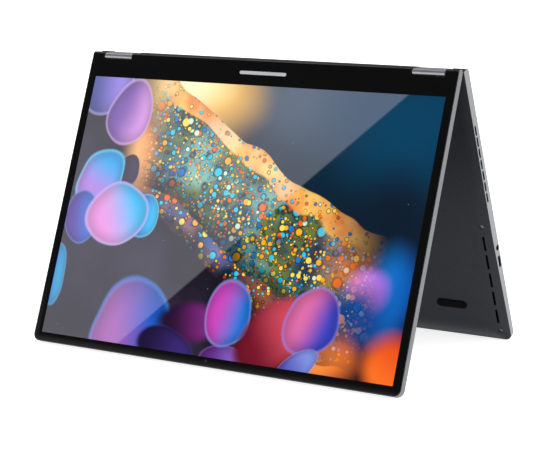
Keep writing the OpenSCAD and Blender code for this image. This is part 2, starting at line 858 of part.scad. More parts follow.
// ---- lid ----
module lid_cover() {
    inner_z = lid_t - 1;
    color([0.5, 0.5, 0.52]) in_lid()
        difference() {
            intersection() {
                linear_extrude(lid_t) half_outline(lid_d, 0, corner_r);
                union() {
                    block([-half_w, lid_edge_r, 0], [half_w, lid_d, lid_t]);
                    translate([0, lid_edge_r, lid_edge_r]) along_x(body_w) circle(lid_edge_r, $fn = 96);
                }
            }
            difference() {
                translate([0, 1, glass_t]) linear_extrude(inner_z - glass_t) half_outline(lid_d - 1, 1.2, corner_r - 1.2);
                notches(lid_notch_d, -1, 9, 1);
                both_sides() for (p = LID_BRACKET_SCREWS)
                    translate([p[0], p[1], 4.1]) cylinder(h = 3, r = 2);
            }
            translate([0, 1.75, -1]) linear_extrude(1 + glass_t + eps) half_outline(lid_d - 1.75, 0.55, corner_r - 0.55);
            notches(lid_notch_d, -1, 9, 0);
            both_sides() for (p = LID_BRACKET_SCREWS)
                translate([p[0], p[1], 2]) cylinder(h = 2.85, r = 0.7);
            both_sides() translate([knuckle_x - notch_w / 2, lid_axis_back, lid_edge_r]) rod(-4, 4, shaft_r + 0.25);
        }
}

module cover_glass() {
    color([0.03, 0.03, 0.035]) in_lid()
        difference() {
            translate([0, 1.8, 0]) linear_extrude(glass_t) half_outline(lid_d - 1.8, 0.6, corner_r - 0.6);
            notches(lid_notch_d, -1, 9, 0.1);
        }
}

module glass_gasket() {
    color([0.08, 0.08, 0.08]) in_lid()
        difference() {
            translate([0, 6.2, glass_t]) linear_extrude(0.25) half_outline(lid_d - 6.2, 1.3, corner_r - 1.3);
            block([-screen_w / 2 - 2, 11, 0], [screen_w / 2 + 2, lid_d - 2.2, 2]);
            notches(lid_notch_d, -1, 9, 1.1);
        }
}

module lcd_panel() {
    color([0.1, 0.12, 0.2]) in_lid() {
        block([-screen_w / 2 - 1.6, chin - 4, glass_t + 0.05], [screen_w / 2 + 1.6, chin + screen_h + 1, 2]);
        block([-110, 13.4, 1.2], [110, chin - 4 + eps, 1.6]);
    }
}

module backlight_tray() {
    color([0.85, 0.86, 0.88]) in_lid()
        difference() {
            block([-screen_w / 2 - 2.4, chin - 4.6, 2], [screen_w / 2 + 2.4, chin + screen_h + 1.6, 3.2]);
            block([-60, 40, 3], [60, 180, 4]);
        }
}

module display_board() {
    color([0.05, 0.25, 0.15]) in_lid() {
        block([-56, 6.6, 1.2], [56, 13.2, 1.8]);
        for (x = [-40, -10, 20])
            block([x, 8, 1.8], [x + 14, 12, 2.6]);
    }
}

module camera_module() {
    camera_y = lid_d - 3.6;
    color([0.03, 0.03, 0.04]) in_lid() {
        block([-18, camera_y - 1.2, 1.5], [18, camera_y + 1.2, 2.1]);
        translate([0, camera_y, glass_t + 0.05]) cylinder(h = 1, r = 1.1);
    }
}

top_case();
bottom_cover();
bottom_screws();
front_feet();
rear_feet();
keyboard_backplate();
keyboard_membrane();
key_scissors();
mainboard();
processor_spreader();
heat_pipe();
heat_sink_fins();
fan_housing();
battery_pack();
ssd_module();
radio_card();
left_speaker();
right_speaker();
left_side_board();
right_side_board();
audio_jack();
left_usb_c_port();
right_usb_c_port();
card_reader();
base_hinge_brackets();
base_hinge_shafts();
base_hinge_screws();
key_row_function();
key_row_numbers();
key_row_upper();
key_row_home();
key_row_lower();
key_row_modifiers();
space_bar();
enter_key();
backspace_key();
left_shift_key();
right_shift_key();
arrow_keys();
power_key();
touchpad();
touchpad_board();
fan_rotor();
left_hinge_cover();
right_hinge_cover();
hinge_bearing_plates();
hinge_friction_discs();
lower_idler_gears();
upper_idler_gears();
lid_cover();
cover_glass();
glass_gasket();
lcd_panel();
backlight_tray();
display_board();
camera_module();
lid_hinge_brackets();
lid_hinge_shafts();
lid_hinge_screws();
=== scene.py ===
"""Looks of a two-in-one laptop that stands as a tent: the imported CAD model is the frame, in metres."""
import json
import math

import bmesh
import bpy
from mathutils import Matrix, Vector


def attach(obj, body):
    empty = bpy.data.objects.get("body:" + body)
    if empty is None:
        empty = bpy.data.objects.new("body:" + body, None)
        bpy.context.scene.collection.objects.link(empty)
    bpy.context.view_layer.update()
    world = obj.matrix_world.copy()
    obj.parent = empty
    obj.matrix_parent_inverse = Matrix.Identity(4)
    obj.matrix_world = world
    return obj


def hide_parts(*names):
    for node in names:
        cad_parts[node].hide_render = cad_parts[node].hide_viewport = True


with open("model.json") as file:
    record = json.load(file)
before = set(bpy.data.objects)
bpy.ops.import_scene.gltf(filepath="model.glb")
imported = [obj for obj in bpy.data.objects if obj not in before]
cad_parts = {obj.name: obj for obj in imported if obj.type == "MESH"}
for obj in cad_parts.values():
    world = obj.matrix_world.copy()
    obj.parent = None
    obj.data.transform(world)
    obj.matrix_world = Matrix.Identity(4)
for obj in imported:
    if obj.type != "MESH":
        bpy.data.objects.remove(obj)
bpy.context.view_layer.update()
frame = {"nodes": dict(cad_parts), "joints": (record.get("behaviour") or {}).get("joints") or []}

MM = 0.001
NODES = frame["nodes"]
JOINTS = {joint["name"]: joint for joint in frame["joints"]}

# ---- sizes in millimetres: the main ones are the CAD's, and edges, gaps and vents are this file's own ----
HALF_W = 149
BASE_D = 213.1
BASE_T = 8.6
LID_D = 216.1
CORNER_R = 5
SIDE_SEAM = 7.1
FRONT_SEAM = 4.6
SEAM_BEND = 130
SIDE_SLOPE = 11
FRONT_SLOPE = 14
UNDER_EDGE_R = 2
UNDER_CORNER_GAIN = 3
COVER_WALL = 1
CASE_WALL = 1.5
CASE_EDGE = 0.4
CASE_STRIP = 2.8
DECK_EDGE_R = 3
COVER_SIDE_GAP = 0.06
COVER_FRONT_GAP = 0.08
SEAM_GAP = 0.02
WELL_MARGIN = 1.4
WELL_H = 0.8
WELL_R = 1.6
KEY_GAP = 0.4
KEY_HOLE_R = 1.2
PAD_W = 118
PAD_D = 72
PAD_Y = 133.5
PAD_R = 2.2
GLASS_T = 0.7
GLASS_START = 1.8
GLASS_INSET = 0.6
GLASS_EDGE_R = 0.25
GLASS_NOTCH_GAP = 0.1
LENS_INSET = 3.6
SCREEN_W = 285
SCREEN_H = 190.2
CHIN = 19.4
BAR_HALF_W = 19
BAR_LOW_Y = 9.3
BAR_HIGH_Y = 11.7
BAR_R = 1.15
KNUCKLE_X = 126.5
NOTCH_W = 25
LID_NOTCH_D = 5.9
BASE_NOTCH_D = 4.9
SCREWS = [(-142.6, 117.9), (142.6, 117.9), (-142.6, 204), (142.6, 204),
          (-66, 195), (66, 195), (-84, 11), (84, 11), (0, 11)]
SCREW_R = 1.5
FAN = (94, 70)
INTAKE_SIZE = (12, 2)
INTAKE_PITCH = (5.6, 15)
INTAKE_START = (-20, -15)
SLOT_INSET = 6.6
SLOT_Y = 131.3
SLOT_PITCH = 15
SLOT_SIZE = (11.7, 1.6)
# The cloth's nine rings start at a distance from the hinge edge, and lie part of the way down the slope
CLOTH_Y = 124
CLOTH_STEP = 9.3
CLOTH_SHARE = 0.55
CLOTH_HALF_W = 2.2
CLOTH_T = 0.25
CLOTH_GAP = 0.4
VENT_Y = 44.5
VENT_PITCH = 8.55
VENT_Z = -4.9
VENT_SIZE = (7.5, 2.1)
VENT_MESH_LOW = (39, -6.2)
VENT_MESH_HIGH = (101, -3.4)
VENT_MESH_DEPTH = 0.35
VENT_MESH_GAP = 0.1
# Socket and card openings: side, distance from the hinge edge, height, length and width of the slot
SIDE_OPENINGS = [(1, 137, -2.85, 4.2, 4.18), (1, 147.8, -3.1, 9.3, 3.4),
                 (-1, 147.8, -3.1, 9.3, 3.4), (-1, 135.3, -3.6, 12.4, 1.4)]
# The solids for the cover's openings and all knuckle notches start well below the underside
CUT_FROM = -12
# Those of the cover stop at these heights
SLOT_TOP = -5.5
INTAKE_TOP = -6.5
COVER_NOTCH_TOP = -5
SCREW_TOP = -4

# ---- the own frames of base and lid: x along the hinge and y from the hinge edge ----
# z points out of the deck on the base, and from the glass to the back on the lid
LID_LEAN = math.radians(22.7)
BASE_SHAFT = Vector((0, 2.0, -4.5)) * MM
LID_SHAFT = Vector((0, 3.0, 2.6)) * MM


def half_frame(joint, up, shaft):
    """The matrix from a half's own frame to the model's. shaft is the shaft's place in the half's frame."""
    along = Vector((1, 0, 0))
    turn = Matrix((along, up.cross(along), up)).transposed()
    place = Vector(JOINTS[joint]["pos_m"]) - turn @ shaft
    return Matrix.Translation(place) @ turn.to_4x4()


BASE = half_frame("base_shaft_turn", -Vector(JOINTS["space_bar_press"]["axis"]), BASE_SHAFT)
LID = half_frame("lid_shaft_turn", Vector((0, math.cos(LID_LEAN), -math.sin(LID_LEAN))), LID_SHAFT)


# ---- node trees ----
class Graph:
    """A node tree, with one short call for each kind of node. A value is a number, a colour or a socket."""

    def __init__(self, tree):
        self.tree = tree

    def feed(self, socket, value):
        if isinstance(value, bpy.types.NodeSocket):
            self.tree.links.new(value, socket)
        elif socket.type == "RGBA":
            socket.default_value = (*value, 1)
        else:
            socket.default_value = value

    def add(self, kind, inputs, **settings):
        node = self.tree.nodes.new(kind)
        for key, value in settings.items():
            setattr(node, key, value)
        for key, value in inputs.items():
            self.feed(node.inputs[key], value)
        return node

    def math(self, operation, a, b=0.0):
        return self.add("ShaderNodeMath", {0: a, 1: b}, operation=operation).outputs[0]

    def vector(self, operation, a, b):
        return self.add("ShaderNodeVectorMath", {0: a, 1: b}, operation=operation).outputs[0]

    def length(self, a):
        return self.add("ShaderNodeVectorMath", {0: a}, operation="LENGTH").outputs["Value"]

    def axes(self, a):
        return self.add("ShaderNodeSeparateXYZ", {0: a}).outputs

    def scale(self, a, factor):
        return self.add("ShaderNodeVectorMath", {0: a, "Scale": factor}, operation="SCALE").outputs[0]

    def mix(self, factor, a, b, blend="MIX"):
        node = self.add("ShaderNodeMix", {}, data_type="RGBA", blend_type=blend)
        self.feed(node.inputs[0], factor)
        self.feed(node.inputs[6], a)
        self.feed(node.inputs[7], b)
        return node.outputs[2]

    def smooth(self, value, low, high, to_low=0.0, to_high=1.0):
        inputs = {"Value": value, "From Min": low, "From Max": high, "To Min": to_low, "To Max": to_high}
        return self.add("ShaderNodeMapRange", inputs, interpolation_type="SMOOTHSTEP").outputs[0]

    def noise(self, point, scale, detail=2.0):
        return self.add("ShaderNodeTexNoise", {"Vector": point, "Scale": scale, "Detail": detail}).outputs[0]

    def cells(self, point, scale):
        return self.add("ShaderNodeTexVoronoi", {"Vector": point, "Scale": scale}).outputs

    def ramp(self, factor, stops, interpolation="LINEAR"):
        node = self.add("ShaderNodeValToRGB", {0: factor})
        node.color_ramp.interpolation = interpolation
        points = node.color_ramp.elements
        while len(points) < len(stops):
            points.new(0.5)
        for point, (place, colour) in zip(points, stops):
            point.position = place
            point.color = (*colour, 1)
        return node.outputs[0]


def new_material(name):
    """A new node material: (material, graph, principled shader, object coordinates in metres)."""
    made = bpy.data.materials.new(name)
    made.use_nodes = True
    graph = Graph(made.node_tree)
    shader = made.node_tree.nodes["Principled BSDF"]
    place = graph.add("ShaderNodeTexCoord", {}).outputs["Object"]
    return made, graph, shader, place


def linear(value):
    """Linear amount of a channel given as it shows on a screen, from 0 to 255."""
    if value < 10.3:
        return value / 255 / 12.92
    return ((value / 255 + 0.055) / 1.055) ** 2.4


def screen_colour(red, green, blue):
    """Linear colour of a colour given as it shows on a screen."""
    return linear(red), linear(green), linear(blue)


# ---- surface materials ----
# Soft patches of colour and of gloss, to the metre
PATCH_SCALE = 900
GLOSS_SCALE = 1500


def surface(name, colour, rough, metallic=0.0, gloss=0.5, mottle=0.04, grain=5200, bump=0.12, depth=0.01):
    """A fine-grained surface: its colour and roughness vary softly, and it has grain bumps to the metre."""
    made, graph, shader, place = new_material(name)
    patches = graph.noise(place, PATCH_SCALE, 3)
    dark = tuple(c * (1 - mottle) for c in colour)
    light = tuple(c * (1 + mottle) for c in colour)
    shader_inputs = {
        "Base Color": graph.mix(graph.smooth(patches, 0.3, 0.7), dark, light),
        "Roughness": graph.smooth(graph.noise(place, GLOSS_SCALE, 3), 0.25, 0.75, rough - 0.03, rough + 0.03),
        "Metallic": metallic,
        "Specular IOR Level": gloss,
        "Normal": graph.add("ShaderNodeBump", {"Strength": bump, "Distance": depth * MM,
                                               "Height": graph.noise(place, grain, 2)}).outputs[0]}
    for key, value in shader_inputs.items():
        graph.feed(shader.inputs[key], value)
    return made


# The dark strip stops this far from the half's sides
STRIP_END = 0.7
STRIP_COLOUR = (0.05, 0.05, 0.053)


def edged_metal(name, colour, rough, frame_place, strip_depth):
    """Anodised grey metal with a dark strip along a hinge edge. frame_place gives the half's own axes."""
    made = surface(name, colour, rough, metallic=1.0, bump=0.1)
    graph = Graph(made.node_tree)
    base_colour = made.node_tree.nodes["Principled BSDF"].inputs["Base Color"]
    across, inward, outward = frame_place(graph, graph.add("ShaderNodeTexCoord", {}).outputs["Object"])
    from_middle = graph.math("ABSOLUTE", across)
    near_hinge = graph.smooth(inward, (strip_depth - 0.15) * MM, strip_depth * MM, 1.0, 0.0)
    end = HALF_W - STRIP_END
    inner = graph.smooth(from_middle, (end - 0.2) * MM, end * MM, 1.0, 0.0)
    strip = graph.math("MULTIPLY", near_hinge, inner)
    graph.feed(base_colour, graph.mix(strip, base_colour.links[0].from_socket, STRIP_COLOUR))
    return made, graph, from_middle, inward, outward


def lid_metal():
    """The lid's metal. The lid is a CAD node, so its place is turned into the lid's own frame here."""
    def in_lid(graph, place):
        moved = graph.vector("SUBTRACT", place, LID.translation)
        return [graph.add("ShaderNodeVectorMath", {0: moved, 1: LID.col[i].to_3d()},
                          operation="DOT_PRODUCT").outputs["Value"] for i in range(3)]
    return edged_metal("anodised_lid", (0.155, 0.158, 0.168), 0.36, in_lid, GLASS_START)[0]


# Painted shade inside the side openings, in black: a stretch of the wall, deeper than its face and below a
# height
BLACK_START = 8
BLACK_END = 190
BLACK_DEPTH = 0.2
BLACK_TOP = -1.3
PAINTED_SHADE_BLACK = (0.004, 0.004, 0.004)


def case_metal():
    """The case's metal, in the base's own frame. The walls of its side openings are black as painted shade.
    """
    made, graph, from_middle, inward, outward = edged_metal(
        "anodised_case", (0.235, 0.24, 0.252), 0.38, lambda graph, place: graph.axes(place), CASE_STRIP)
    base_colour = made.node_tree.nodes["Principled BSDF"].inputs["Base Color"]
    skin_depth = HALF_W - BLACK_DEPTH
    wall = graph.smooth(from_middle, (skin_depth - 0.2) * MM, skin_depth * MM, 1.0, 0.0)
    below = graph.smooth(outward, (BLACK_TOP - 0.2) * MM, BLACK_TOP * MM, 1.0, 0.0)
    after = graph.smooth(inward, BLACK_START * MM, (BLACK_START + 1) * MM)
    before = graph.smooth(inward, BLACK_END * MM, (BLACK_END + 1) * MM, 1.0, 0.0)
    between = graph.math("MULTIPLY", after, before)
    # Painted shade: the inner walls below the deck turn black, so the openings look shaded inside
    inside = graph.math("MULTIPLY", graph.math("MULTIPLY", wall, below), between)
    graph.feed(base_colour, graph.mix(inside, base_colour.links[0].from_socket, PAINTED_SHADE_BLACK))
    return made


def brushed(name, colour, rough):
    """Metal drawn along x, so its fine lines run along the hinge."""
    made, graph, shader, place = new_material(name)
    stretched = graph.vector("MULTIPLY", place, (60, 5200, 5200))
    lines = graph.noise(stretched, 1.0, 2)
    graph.feed(shader.inputs["Base Color"], graph.mix(lines, tuple(c * 0.86 for c in colour), colour))
    graph.feed(shader.inputs["Roughness"], graph.smooth(lines, 0.2, 0.8, rough - 0.06, rough + 0.06))
    graph.feed(shader.inputs["Metallic"], 1.0)
    graph.feed(shader.inputs["Normal"], graph.add(
        "ShaderNodeBump", {"Strength": 0.08, "Distance": 0.01 * MM, "Height": lines}).outputs[0])
    return made


def board_material():
    """Green circuit board with faint tracks under its lacquer."""
    made, graph, shader, place = new_material("circuit_board")
    tracks = graph.cells(place, 420)["Distance"]
    graph.feed(shader.inputs["Base Color"], graph.mix(
        graph.smooth(tracks, 0.4, 0.5), (0.012, 0.07, 0.035), (0.03, 0.14, 0.07)))
    graph.feed(shader.inputs["Roughness"], graph.smooth(tracks, 0.3, 0.6, 0.3, 0.45))
    return made


def panel_gloss(name, colour, rough):
    """Black glass, with the faint unevenness of a wiped surface in its gloss."""
    made, graph, shader, place = new_material(name)
    wiped = graph.noise(graph.vector("MULTIPLY", place, (9, 30, 30)), 1.0, 4)
    graph.feed(shader.inputs["Base Color"], graph.mix(wiped, tuple(c * 0.7 for c in colour), colour))
    graph.feed(shader.inputs["Roughness"], graph.smooth(wiped, 0.3, 0.7, rough, rough + 0.05))
    graph.feed(shader.inputs["Specular IOR Level"], 0.3)
    return made


# ---- the picture on the display: soft glows, three beaded ribbons and round shapes, under a painted sheen ----
# Places and sizes are in picture heights, from the lower left corner as the tent shows it
# Glows from back to front: centre, half sizes, turn in degrees, softness, colour at either end
GLOWS = [
    ((0.98, 0.98), (0.42, 0.30), 0, 0.95, (70, 88, 108), (44, 68, 96)),
    ((1.42, 0.88), (0.50, 0.36), 0, 0.95, (2, 66, 98), (2, 62, 96)),
    ((1.36, 0.60), (0.30, 0.20), 0, 0.95, (6, 26, 44), (6, 24, 42)),
    ((0.50, 0.97), (0.36, 0.25), -8, 0.85, (255, 206, 120), (255, 196, 86)),
    ((0.47, 0.99), (0.20, 0.15), 0, 0.90, (255, 250, 206), (255, 244, 180)),
    ((0.30, 0.72), (0.12, 0.20), 12, 0.80, (255, 190, 120), (255, 150, 90)),
    ((1.43, 0.30), (0.15, 0.24), 0, 0.75, (14, 120, 206), (6, 84, 174)),
    ((1.14, 0.37), (0.24, 0.13), -6, 0.80, (255, 140, 44), (246, 120, 40)),
    ((1.33, 0.30), (0.11, 0.11), 34, 0.60, (246, 150, 230), (160, 110, 226)),
    ((1.30, 0.20), (0.20, 0.16), 20, 0.80, (20, 70, 150), (10, 60, 140)),
    ((1.22, 0.04), (0.17, 0.13), 10, 0.80, (255, 150, 70), (250, 120, 40)),
    ((1.48, 0.05), (0.15, 0.15), 60, 0.60, (255, 116, 34), (236, 76, 22)),
]
# Round shapes from back to front: the same, and then the colour of the rim
BLOBS = [
    ((0.060, 0.985), (0.125, 0.135), 10, 0.10, (60, 70, 150), (150, 130, 226), (190, 190, 246)),
    ((0.200, 0.870), (0.100, 0.130), -12, 0.10, (120, 80, 170), (216, 150, 226), (236, 196, 246)),
    ((0.245, 0.650), (0.060, 0.062), 0, 0.15, (36, 24, 44), (60, 44, 80), (110, 80, 120)),
    ((0.120, 0.610), (0.130, 0.100), 60, 0.08, (180, 130, 226), (10, 170, 240), (120, 220, 255)),
    ((0.075, 0.450), (0.075, 0.110), 10, 0.12, (90, 60, 160), (60, 120, 220), (130, 160, 246)),
    ((0.345, 0.480), (0.070, 0.095), -6, 0.10, (40, 90, 200), (10, 190, 246), (130, 220, 255)),
    ((0.225, 0.480), (0.140, 0.125), 24, 0.08, (236, 150, 226), (20, 190, 250), (210, 190, 255)),
    ((0.000, 0.220), (0.055, 0.120), 0, 0.12, (20, 120, 190), (36, 160, 216), (90, 190, 236)),
    ((0.400, 0.020), (0.190, 0.235), 10, 0.10, (170, 96, 180), (0, 90, 200), (70, 150, 240)),
    ((0.640, 0.120), (0.150, 0.085), 12, 0.35, (40, 12, 50), (130, 40, 130), (96, 36, 110)),
    ((0.560, 0.010), (0.130, 0.075), -8, 0.25, (30, 16, 60), (60, 40, 120), (90, 70, 170)),
    ((0.800, 0.000), (0.100, 0.070), 0, 0.15, (96, 40, 130), (130, 90, 190), (180, 120, 216)),
    ((0.800, 0.170), (0.105, 0.118), -14, 0.10, (206, 70, 190), (30, 120, 220), (120, 170, 246)),
    ((1.010, 0.110), (0.200, 0.120), 34, 0.25, (120, 16, 40), (226, 80, 100), (200, 70, 120)),
    ((1.150, 0.170), (0.110, 0.130), -24, 0.10, (226, 110, 170), (60, 70, 196), (150, 140, 240)),
    ((1.120, 0.010), (0.095, 0.050), 36, 0.18, (80, 76, 180), (130, 150, 230), (190, 190, 250)),
]


EDGE_SHADE = 0.6


def add_shape(graph, point, colour, centre, size, turn, soft, first, second, rim=None):
    """Lays one shape over a colour. With a rim colour it is a shaded round body, and without one a glow."""
    inside = graph.add("ShaderNodeMapping", {
        "Vector": point, "Location": (*centre, 0), "Rotation": (0, 0, math.radians(turn)),
        "Scale": (*size, 1)}, vector_type="TEXTURE").outputs[0]
    along = graph.smooth(graph.axes(inside)[0], -0.55, 0.7)
    body = graph.mix(along, screen_colour(*first), screen_colour(*second))
    reach = graph.length(inside)
    if rim:
        body = graph.scale(body, graph.smooth(reach, 0.45, 1.0, 1.0, EDGE_SHADE))
        body = graph.mix(graph.smooth(reach, 0.84, 1.0, 0.0, 0.85), body, screen_colour(*rim))
    return graph.mix(graph.smooth(reach, 1 - soft, 1.0, 1.0, 0.0), colour, body)


BEAD_COLOURS = [(0.0, (255, 180, 30)), (0.22, (240, 110, 24)), (0.40, (250, 222, 84)),
                (0.60, (40, 200, 230)), (0.80, (206, 240, 220)), (0.87, (20, 120, 200))]
BEAD_RING = (14, 26, 38)


def add_beads(graph, point, colour, scale, size):
    """One layer of beads of random size and colour, one in each cell of a net, each in its own dark ring."""
    cells = graph.cells(point, scale)
    pick = graph.axes(cells["Color"])
    edge = graph.math("MULTIPLY", graph.smooth(pick[1], 0.0, 1.0, 0.35, 1.0), size)
    reach = graph.math("DIVIDE", cells["Distance"], edge)
    ring = graph.smooth(reach, 0.95, 1.3, 0.75, 0.0)
    bead = graph.smooth(reach, 0.70, 0.92, 1.0, 0.0)
    tint = graph.ramp(pick[0], [(p, screen_colour(*c)) for p, c in BEAD_COLOURS], "CONSTANT")
    ringed = graph.mix(ring, colour, screen_colour(*BEAD_RING))
    return graph.mix(bead, ringed, tint)


# Ribbons from back to front: height, half width, two colours of its ground, lighter colour in patches,
# and its layers of beads, each with the scale of its net and the size of its beads
RIBBONS = [
    (1.02, 0.075, ((236, 120, 44), (246, 206, 110)), (255, 240, 190), [(44, 0.40)]),
    (0.67, 0.10, ((12, 40, 60), (150, 84, 56)), (60, 120, 200), [(56, 0.52), (26, 0.44)]),
    (0.85, 0.175, ((120, 136, 50), (6, 50, 80)), (150, 226, 226), [(72, 0.56), (38, 0.52), (17, 0.38)]),
]


def add_ribbon(graph, point, colour, drop, reach, ground, sheen, beads):
    """A broad bent ribbon across the picture, shaded as a tube and set with beads. It fades at its ends."""
    along, up, _ = graph.axes(point)
    bend = graph.math("MULTIPLY", graph.math("SINE", graph.math("MULTIPLY", along, 4.2)), 0.06)
    middle = graph.math("ADD", graph.math("MULTIPLY", along, -0.40), drop)
    offset = graph.math("SUBTRACT", up, graph.math("ADD", middle, bend))
    wavy = graph.math("ADD", offset, graph.smooth(graph.noise(point, 5, 1), 0.3, 0.7, -0.02, 0.02))
    across = graph.math("DIVIDE", wavy, reach)
    side = graph.math("ABSOLUTE", across)
    ends = graph.math("MULTIPLY", graph.smooth(along, 0.26, 0.42), graph.smooth(along, 1.06, 1.40, 1.0, 0.0))
    cover = graph.math("MULTIPLY", graph.smooth(side, 0.93, 1.0, 1.0, 0.0), ends)
    patches = graph.noise(graph.vector("ADD", point, (drop * 9, 0, 0)), 6, 3)
    body = graph.mix(graph.smooth(patches, 0.35, 0.65), screen_colour(*ground[0]), screen_colour(*ground[1]))
    clouds = graph.noise(graph.vector("ADD", point, (0, drop * 7, 0)), 4, 2)
    body = graph.mix(graph.smooth(clouds, 0.45, 0.72, 0.0, 0.55), body, screen_colour(*sheen))
    for scale, size in beads:
        body = add_beads(graph, graph.vector("ADD", point, (scale * 0.3, drop, 0)), body, scale, size)
    from_light = graph.math("ADD", side, graph.math("MULTIPLY", across, -0.35))
    shade = graph.smooth(from_light, 0.35, 1.25, 1.1, 0.22)
    return graph.mix(cover, colour, graph.scale(body, shade))


def add_sheen(graph, point, colour):
    """Painted reflection: a pale sheen added to the picture left of a slanting line, which fades low in the
    picture.
    """
    along, up, _ = graph.axes(point)
    side = graph.math("SUBTRACT", along, graph.math("ADD", up, 0.355))
    # Painted reflection: the pale sheen left of the line, added into the picture's light
    painted_sheen = graph.math("MULTIPLY", graph.smooth(side, -0.008, 0.008, 1.0, 0.0), 0.092)
    return graph.mix(1.0, colour, graph.mix(painted_sheen, (0, 0, 0), (0.98, 1.0, 1.12)), "ADD")


def picture_material():
    """The lit picture: a dark ground, glows, stars, ribbons and round shapes, in that order, then a painted
    sheen over it all.
    """
    made, graph, shader, place = new_material("display_picture")
    point = graph.add("ShaderNodeMapping", {
        "Vector": place, "Location": (SCREEN_W / SCREEN_H / 2, (CHIN + SCREEN_H) / SCREEN_H, 0),
        "Scale": (1 / SCREEN_H / MM, -1 / SCREEN_H / MM, 0)}).outputs[0]
    wave = graph.add("ShaderNodeTexNoise", {"Vector": point, "Scale": 3.4, "Detail": 1.0}).outputs["Color"]
    bent = graph.vector("ADD", point, graph.vector(
        "MULTIPLY", graph.vector("SUBTRACT", wave, (0.5, 0.5, 0.5)), (0.09, 0.09, 0)))
    along, up, _ = graph.axes(bent)
    night = graph.mix(graph.smooth(up, 0.2, 1.0), screen_colour(8, 14, 22), screen_colour(2, 44, 68))
    dusk = graph.mix(graph.smooth(graph.noise(bent, 2.6, 3), 0.35, 0.7), screen_colour(24, 16, 30),
                     screen_colour(52, 44, 66))
    colour = graph.mix(graph.smooth(along, 0.55, 1.05), dusk, night)
    for glow in GLOWS:
        colour = add_shape(graph, bent, colour, *glow)
    stars = graph.cells(point, 30)
    star = graph.math("MULTIPLY", graph.smooth(stars["Distance"], 0.03, 0.06, 1.0, 0.0),
                      graph.smooth(graph.axes(stars["Color"])[0], 0.7, 0.9, 0.0, 0.35))
    colour = graph.mix(star, colour, (0.6, 0.75, 0.9))
    for ribbon in RIBBONS:
        colour = add_ribbon(graph, point, colour, *ribbon)
    for blob in BLOBS:
        colour = add_shape(graph, bent, colour, *blob)
    # Painted reflection: a pale sheen laid over the whole picture
    colour = add_sheen(graph, point, colour)
    glass = graph.mix(graph.noise(place, 60, 2), (0.002, 0.002, 0.003), (0, 0, 0))
    graph.feed(shader.inputs["Base Color"], glass)
    graph.feed(shader.inputs["Emission Color"], colour)
    graph.feed(shader.inputs["Emission Strength"], 1.0)
    graph.feed(shader.inputs["Roughness"], graph.smooth(graph.noise(place, 25, 4), 0.3, 0.7, 0.07, 0.11))
    graph.feed(shader.inputs["Specular IOR Level"], 0.3)
    return made


# ---- one material for each slot of the record ----
MATERIALS = {
    "case_metal": case_metal(),
    "lid_metal": lid_metal(),
    "cover_metal": surface("coated_cover", (0.023, 0.024, 0.0285), 0.38, metallic=0.75, gloss=0.4, mottle=0.1,
                           grain=3400),
    "hinge_metal": brushed("hinge_finish", (0.40, 0.40, 0.42), 0.44),
    "steel": brushed("plain_steel", (0.5, 0.5, 0.52), 0.32),
    "brass": surface("brass", (0.6, 0.45, 0.2), 0.3, metallic=1.0),
    "screw_steel": surface("blackened_steel", (0.17, 0.17, 0.18), 0.35, metallic=1.0),
    "foot_rubber": surface("foot_rubber", (0.0022, 0.0022, 0.0024), 0.8, gloss=0.05, mottle=0.2, grain=1800,
                           bump=0.4, depth=0.03),
    "key_plastic": surface("key_plastic", (0.018, 0.018, 0.020), 0.5, gloss=0.45, mottle=0.12, grain=4200,
                           bump=0.3),
    "touch_glass": surface("etched_glass", (0.17, 0.172, 0.18), 0.34, gloss=0.5, mottle=0.03, bump=0.05),
    "screen_glass": panel_gloss("border_glass", (0.0022, 0.0022, 0.0026), 0.06),
    "dark_plastic": surface("dark_plastic", (0.012, 0.012, 0.013), 0.5, mottle=0.15, grain=2600, bump=0.3),
    "light_plastic": surface("light_plastic", (0.62, 0.63, 0.64), 0.45, mottle=0.04),
    "board": board_material(),
    "copper": brushed("copper", (0.75, 0.38, 0.22), 0.28),
    "fin_metal": brushed("fin_metal", (0.65, 0.66, 0.68), 0.3),
    "display": surface("panel_back", (0.03, 0.035, 0.06), 0.3, mottle=0.1),
    "socket_metal": surface("socket_metal", (0.03, 0.03, 0.032), 0.35, metallic=1.0),
    "rubber_seal": surface("seal_rubber", (0.012, 0.012, 0.012), 0.8, gloss=0.3, mottle=0.2),
}
PICTURE = picture_material()
# Near-lightless black for the cloth behind the speaker slots and the mesh behind the vents: their own black,
# and painted shade inside the openings
SHADE_CLOTH = surface("speaker_cloth", (0.002, 0.002, 0.002), 0.95, gloss=0.0, mottle=0.4, grain=2200, bump=0.5)


# ---- mesh helpers: outlines and sizes in millimetres, in a half's own frame ----
def arc(x, y, radius, start, stop, steps):
    """Points on an arc, angles in degrees."""
    angles = [math.radians(start + (stop - start) * i / steps) for i in range(steps + 1)]
    return [(x + radius * math.cos(a), y + radius * math.sin(a)) for a in angles]


def rounded(x0, y0, x1, y1, radius, steps=6):
    """Outline of a rectangle with round corners, anticlockwise."""
    left = x0 + radius
    right = x1 - radius
    near = y0 + radius
    far = y1 - radius
    return (arc(right, far, radius, 0, 90, steps) + arc(left, far, radius, 90, 180, steps)
            + arc(left, near, radius, 180, 270, steps) + arc(right, near, radius, 270, 360, steps))


def loop(bm, outline, height):
    """A closed loop of edges at one height."""
    points = [bm.verts.new((x * MM, y * MM, height * MM)) for x, y in outline]
    return [bm.edges.new((points[i - 1], points[i])) for i in range(len(points))]


